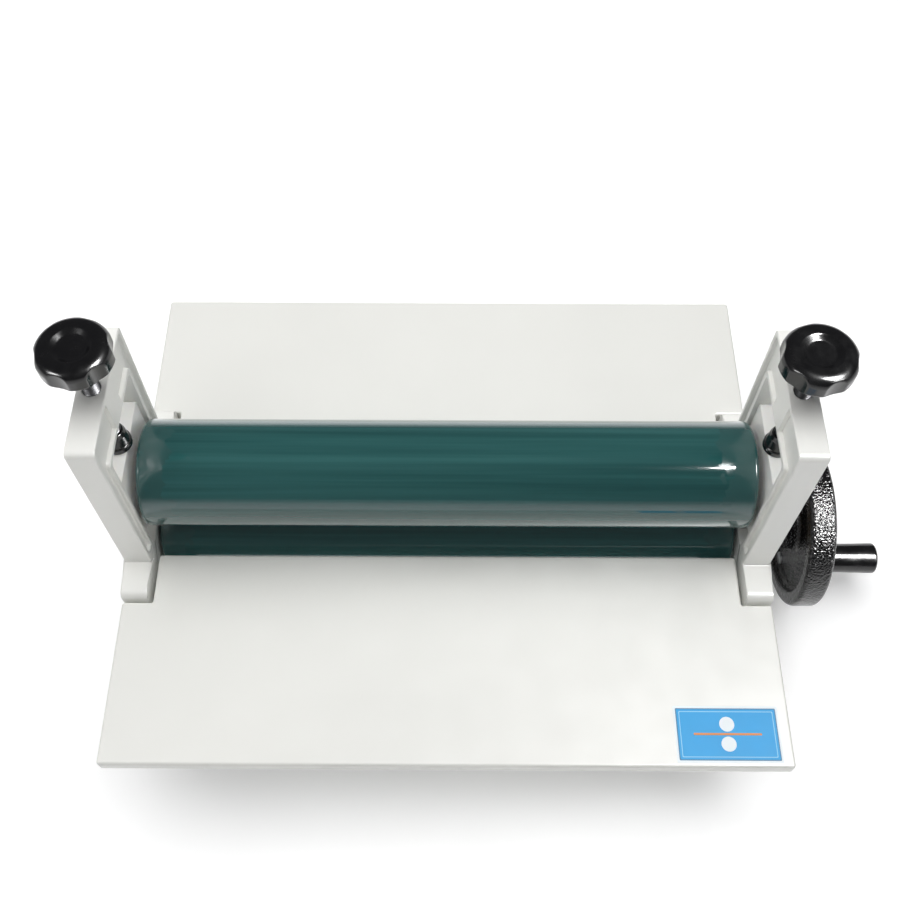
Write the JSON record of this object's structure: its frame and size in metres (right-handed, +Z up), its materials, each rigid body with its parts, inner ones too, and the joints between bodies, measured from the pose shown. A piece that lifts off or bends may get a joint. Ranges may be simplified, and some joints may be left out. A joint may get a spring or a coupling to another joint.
{
  "type": "cold roll laminator",
  "caption": "Hand-cranked tabletop cold laminator: cast side frames, folded tables, rubber-covered nip rollers, screw-down pressure knobs and a handwheel.",
  "frame": {"origin": "on the bench, midway between the side frames and straight below the roller axes", "axes": "+X along the rollers towards the handwheel, +Y from the infeed table to the outfeed table, +Z up"},
  "size_m": [0.4862, 0.32, 0.2575],
  "materials": {
    "white_paint": "satin powder coat",
    "roller_rubber": "ground smooth, glossy",
    "shaft_steel": "ground",
    "zinc_steel": "zinc plated",
    "black_steel": "black oxide",
    "bronze": "sintered",
    "white_nylon": "satin",
    "black_plastic": "moulded, glossy",
    "hammertone": "black hammertone paint",
    "spring_steel": "drawn wire",
    "foot_rubber": "matt",
    "label_film": "printed film"
  },
  "bodies": {
    "root": {"left_side_frame": "white_paint", "right_side_frame": "white_paint", "front_table": "white_paint", "rear_table": "white_paint", "left_front_bracket": "zinc_steel", "right_front_bracket": "zinc_steel", "left_rear_bracket": "zinc_steel", "right_rear_bracket": "zinc_steel", "bracket_screws": "black_steel", "table_studs": "zinc_steel", "table_nuts": "zinc_steel", "front_tie_bar": "zinc_steel", "rear_tie_bar": "zinc_steel", "tie_bar_screws": "black_steel", "lower_left_bush": "bronze", "lower_right_bush": "bronze", "left_lift_spring": "spring_steel", "right_lift_spring": "spring_steel", "front_left_foot": "foot_rubber", "front_right_foot": "foot_rubber", "rear_left_foot": "foot_rubber", "rear_right_foot": "foot_rubber", "foot_screws": "black_steel", "table_label": "label_film"},
    "lower_roller": {"lower_roller_core": "shaft_steel", "lower_roller_rubber": "roller_rubber", "lower_roller_clips": "black_steel", "handwheel": "hammertone", "handwheel_set_screw": "black_steel", "handle_spindle": "zinc_steel"},
    "crank_grip": {"handle_grip": "black_plastic"},
    "upper_carriage": {"left_bearing_block": "white_nylon", "right_bearing_block": "white_nylon", "upper_left_bush": "bronze", "upper_right_bush": "bronze", "left_pressure_pad": "black_plastic", "right_pressure_pad": "black_plastic"},
    "upper_roller": {"upper_roller_core": "shaft_steel", "upper_roller_rubber": "roller_rubber", "upper_roller_clips": "black_steel"},
    "left_screw": {"left_pressure_screw": "black_steel", "left_knob": "black_plastic"},
    "right_screw": {"right_pressure_screw": "black_steel", "right_knob": "black_plastic"}
  },
  "joints": [
    {"name": "upper_roller_lift", "type": "slide", "parent": "root", "child": "upper_carriage", "axis": [0, 0, 1], "range_m": [0, 0.00875], "deforming": ["left_lift_spring", "right_lift_spring"]},
    {"name": "right_knob_turn", "type": "hinge", "parent": "upper_carriage", "child": "right_screw", "pos_m": [0.185, 0, 0.2], "axis": [0, 0, 1], "range_deg": [0, 2101]},
    {"name": "left_knob_turn", "type": "hinge", "parent": "upper_carriage", "child": "left_screw", "pos_m": [-0.185, 0, 0.2], "axis": [0, 0, 1], "range_deg": [0, 2101]},
    {"name": "lower_roller_turn", "type": "hinge", "parent": "root", "child": "lower_roller", "pos_m": [0, 0, 0.066], "axis": [1, 0, 0], "continuous": true},
    {"name": "upper_roller_turn", "type": "hinge", "parent": "upper_carriage", "child": "upper_roller", "pos_m": [0, 0, 0.1294], "axis": [1, 0, 0], "continuous": true},
    {"name": "crank_grip_turn", "type": "hinge", "parent": "lower_roller", "child": "crank_grip", "pos_m": [0.2565, -0.0066, 0.02858], "axis": [1, 0, 0], "continuous": true}
  ],
  "couplings": [
    {"joint": "right_knob_turn", "follows": "upper_roller_lift", "rad_per_m": 4188.8},
    {"joint": "left_knob_turn", "follows": "upper_roller_lift", "rad_per_m": 4188.8},
    {"joint": "upper_roller_turn", "follows": "lower_roller_turn", "ratio": -1}
  ]
}
